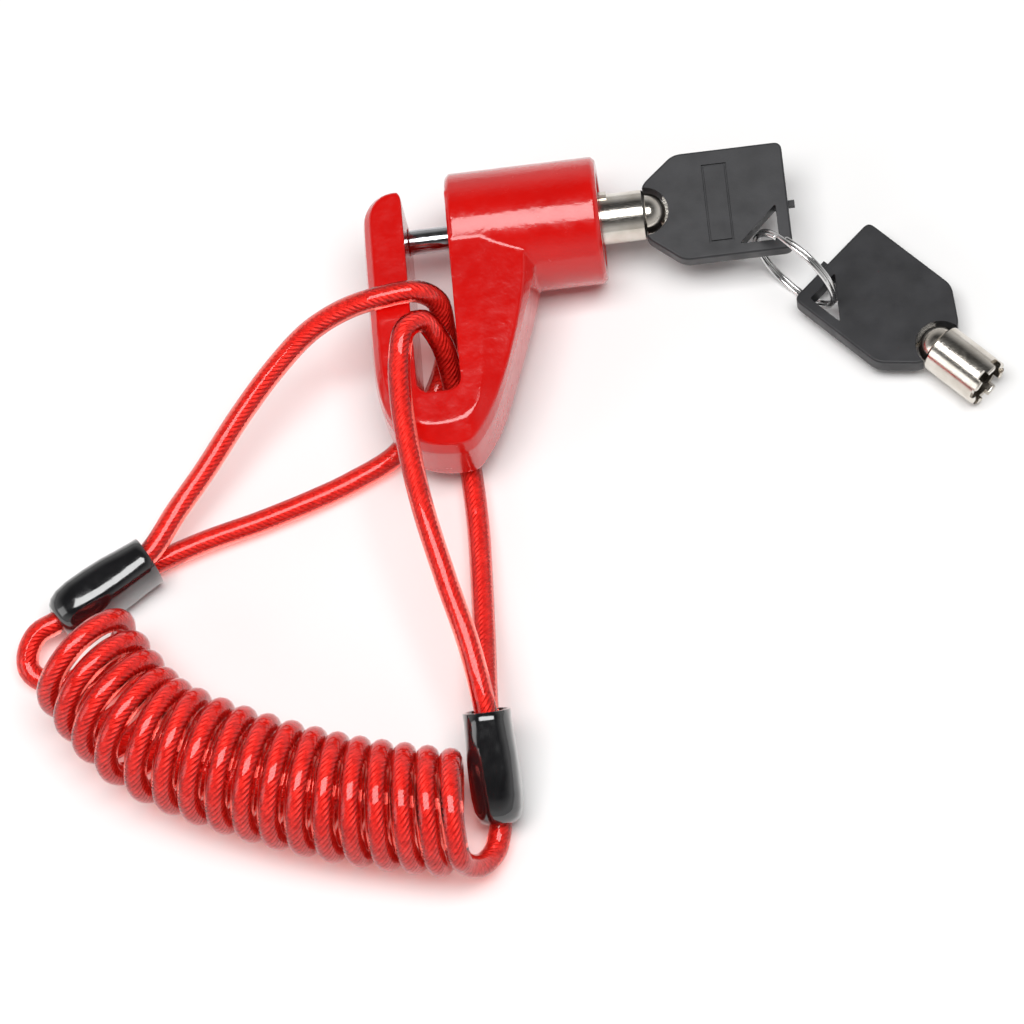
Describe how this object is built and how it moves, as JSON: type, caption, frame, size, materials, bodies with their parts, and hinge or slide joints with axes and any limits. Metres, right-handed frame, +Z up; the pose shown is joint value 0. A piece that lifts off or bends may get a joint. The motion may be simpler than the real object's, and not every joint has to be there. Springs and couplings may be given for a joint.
{
  "type": "disc brake lock",
  "caption": "Lock with a C-shaped body, barrel and cross pin, coiled reminder cable looped through its slot, tubular keys and a split ring.",
  "frame": {"origin": "middle of the rigid pieces (lock, keys and ring) in plan, on the table plane", "axes": "+X along the locking pin and barrel, from the jaw towards the key; +Y towards the barrel from the bar of the C; +Z up from the table"},
  "size_m": [0.1977, 0.1453, 0.0284],
  "materials": {
    "red_paint": "gloss paint over die cast metal",
    "pin_steel": "polished hardened steel",
    "steel": "drawn steel",
    "carrier_zinc": "plated zinc die casting, satin bright",
    "chrome": "polished chrome plate",
    "brass": "turned brass",
    "key_nickel": "nickel plated steel tube",
    "key_black": "moulded black plastic, satin",
    "ring_steel": "nickel plated spring steel",
    "aluminium": "crimped aluminium",
    "vinyl_black": "shiny dipped vinyl",
    "cable_red": "clear red PVC jacket over steel rope"
  },
  "bodies": {
    "lock": {"lock_body": "red_paint", "stop_pin": "steel", "ejection_spring": "steel", "ferrule_a": "aluminium", "ferrule_b": "aluminium", "sleeve_a": "vinyl_black", "sleeve_b": "vinyl_black", "cable_loop_a": "cable_red", "cable_loop_b": "cable_red", "cable_tail_a": "cable_red", "cable_tail_b": "cable_red", "cable_coil": "cable_red"},
    "cylinder": {"locking_pin": "pin_steel", "pin_dowel": "steel", "cylinder_carrier": "carrier_zinc", "tumbler_block": "brass", "face_ring": "chrome", "driver_pin_1": "steel", "driver_pin_2": "steel", "driver_pin_3": "steel", "driver_pin_4": "steel", "driver_pin_5": "steel", "driver_pin_6": "steel", "driver_pin_7": "steel", "tumbler_spring_1": "steel", "tumbler_spring_2": "steel", "tumbler_spring_3": "steel", "tumbler_spring_4": "steel", "tumbler_spring_5": "steel", "tumbler_spring_6": "steel", "tumbler_spring_7": "steel"},
    "rotor": {"turning_plug": "chrome", "cam_disc": "steel", "key_pin_1": "brass", "key_pin_2": "brass", "key_pin_3": "brass", "key_pin_4": "brass", "key_pin_5": "brass", "key_pin_6": "brass", "key_pin_7": "brass"},
    "latch": {"latch_plunger": "steel"},
    "key_1": {"key_1_tube": "key_nickel", "key_1_bow": "key_black"},
    "ring": {"split_ring": "ring_steel"},
    "key_2": {"key_2_tube": "key_nickel", "key_2_bow": "key_black"}
  },
  "joints": [
    {"name": "cylinder_pop_out", "type": "slide", "parent": "lock", "child": "cylinder", "axis": [1, 0, 0], "range_m": [0, 0.013]},
    {"name": "rotor_turn", "type": "hinge", "parent": "cylinder", "child": "rotor", "pos_m": [-0.04394, 0.01815, 0.0127], "axis": [1, 0, 0], "range_deg": [-90, 0]},
    {"name": "latch_draw", "type": "slide", "parent": "cylinder", "child": "latch", "axis": [0, 0, 1], "range_m": [-0.0011, 0]},
    {"name": "key_withdraw", "type": "slide", "parent": "rotor", "child": "key_1", "axis": [1, 0, 0], "range_m": [0, 0.012]},
    {"name": "ring_turn", "type": "hinge", "parent": "key_1", "child": "ring", "pos_m": [0.02309, 0.00328, 0.01047], "axis": [-0.7193, -0.6947, 0], "range_deg": [0, 60]},
    {"name": "key_2_swing", "type": "hinge", "parent": "ring", "child": "key_2", "pos_m": [0.02886, -0.00275, 0.005], "axis": [0, 0, 1], "range_deg": [-6, 6]}
  ],
  "couplings": [
    {"joint": "latch_draw", "follows": "rotor_turn", "m_per_rad": 0.00070028}
  ]
}
